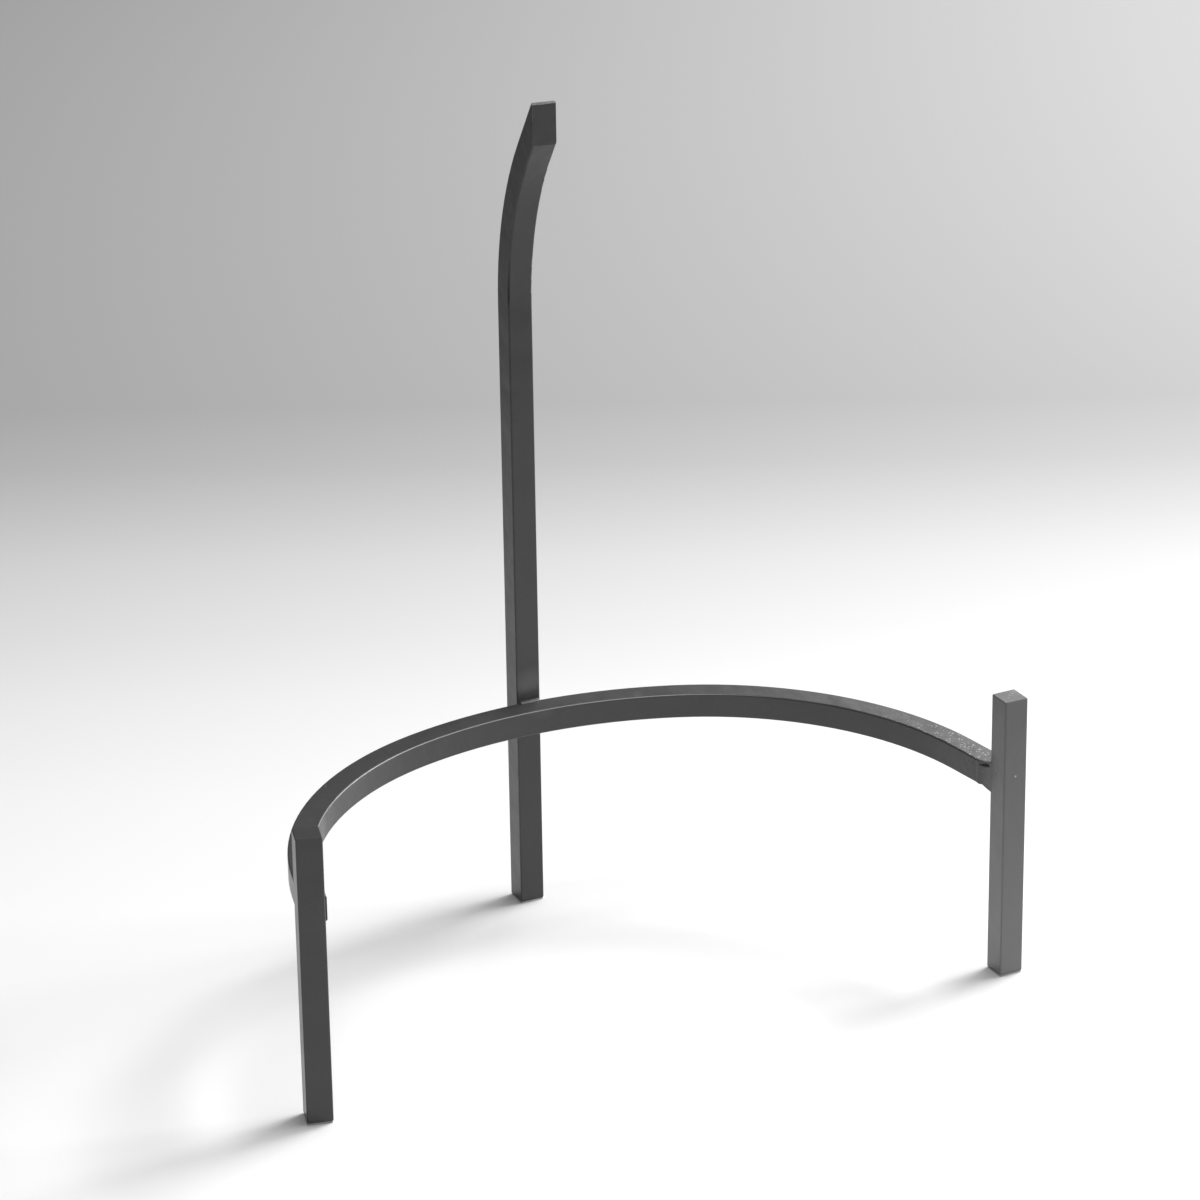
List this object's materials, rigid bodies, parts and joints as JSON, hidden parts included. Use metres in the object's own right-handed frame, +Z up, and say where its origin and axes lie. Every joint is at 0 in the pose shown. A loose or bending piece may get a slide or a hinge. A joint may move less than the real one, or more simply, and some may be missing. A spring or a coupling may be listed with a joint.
{
  "type": "firewood log rack",
  "caption": "Free-standing firewood rack of painted square steel bar: a level open half ring on short front legs, welded to a tall back post that leans forward at its top.",
  "frame": {"origin": "on the floor, midway between the two front legs and midway from the legs back to the post", "axes": "+X right seen from the open front, +Y towards the back post, +Z up"},
  "size_m": [0.4418, 0.2201, 0.5111],
  "materials": {
    "bar_paint": "dark anthracite satin coat on steel bar, with faint dust and worn edges",
    "weld_paint": "the same anthracite coat over rippled weld beads",
    "foot_pad": "pale, slightly cloudy soft plastic"
  },
  "bodies": {
    "root": {"half_ring": "bar_paint", "back_post": "bar_paint", "left_leg": "bar_paint", "right_leg": "bar_paint", "left_leg_weld": "weld_paint", "right_leg_weld": "weld_paint", "post_weld_upper": "weld_paint", "post_weld_lower": "weld_paint", "back_foot_pad": "foot_pad", "left_foot_pad": "foot_pad", "right_foot_pad": "foot_pad"}
  },
  "joints": []
}
